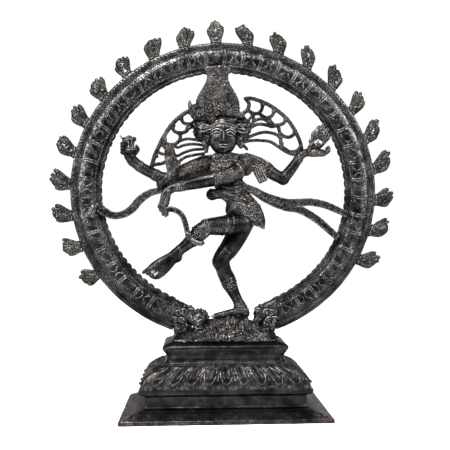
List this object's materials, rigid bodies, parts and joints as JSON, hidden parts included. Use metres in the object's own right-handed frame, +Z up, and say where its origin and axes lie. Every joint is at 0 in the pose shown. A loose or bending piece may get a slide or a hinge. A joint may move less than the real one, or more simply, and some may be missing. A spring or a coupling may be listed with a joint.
{
  "type": "dancing figure statue",
  "caption": "Free-standing cast statue of a four-armed dancing figure on a prone dwarf inside a ring of flames, on a lotus pedestal.",
  "frame": {"origin": "centre of the plinth's footprint on the surface it stands on", "axes": "+Z up, the figure faces -Y, +X towards the figure's own left"},
  "size_m": [0.5298, 0.153, 0.5976],
  "materials": {
    "plinth_patina": "dark patina, brushed pale on the slopes, warm worn edges",
    "pedestal_patina": "near-black patina with warm worn petals",
    "ring_patina": "near-black patina, grey worn mouldings, bluish cast",
    "flame_patina": "dark patina with grey-brown worn tongues",
    "figure_patina": "dark satin patina, warm brown on worn ornament",
    "fastener_steel": "plain zinc-plated steel"
  },
  "bodies": {
    "root": {"plinth_plate": "plinth_patina", "lotus_pedestal": "pedestal_patina", "flame_ring": "ring_patina", "flame_01": "flame_patina", "flame_02": "flame_patina", "flame_03": "flame_patina", "flame_04": "flame_patina", "flame_05": "flame_patina", "flame_06": "flame_patina", "flame_07": "flame_patina", "flame_08": "flame_patina", "flame_09": "flame_patina", "flame_10": "flame_patina", "flame_11": "flame_patina", "flame_12": "flame_patina", "flame_13": "flame_patina", "flame_14": "flame_patina", "flame_15": "flame_patina", "flame_16": "flame_patina", "flame_17": "flame_patina", "flame_18": "flame_patina", "flame_19": "flame_patina", "flame_20": "flame_patina", "flame_21": "flame_patina", "dwarf_figure": "figure_patina", "makara_left": "ring_patina", "makara_right": "ring_patina", "torso": "figure_patina", "head": "figure_patina", "crown": "figure_patina", "arm_front_right": "figure_patina", "arm_front_left": "figure_patina", "arm_rear_right": "figure_patina", "arm_rear_left": "figure_patina", "hair_fan_left": "figure_patina", "hair_fan_right": "figure_patina", "drum": "figure_patina", "hand_flame": "figure_patina", "raised_leg": "figure_patina", "standing_leg": "figure_patina", "sash_right": "figure_patina", "sash_left": "figure_patina", "sash_front": "figure_patina", "figure_stud": "fastener_steel", "figure_washer": "fastener_steel", "figure_nut": "fastener_steel", "ring_left_stud": "fastener_steel", "ring_left_washer": "fastener_steel", "ring_left_nut": "fastener_steel", "ring_right_stud": "fastener_steel", "ring_right_washer": "fastener_steel", "ring_right_nut": "fastener_steel", "plinth_screw_1": "fastener_steel", "plinth_screw_2": "fastener_steel", "plinth_screw_3": "fastener_steel", "plinth_screw_4": "fastener_steel"}
  },
  "joints": []
}
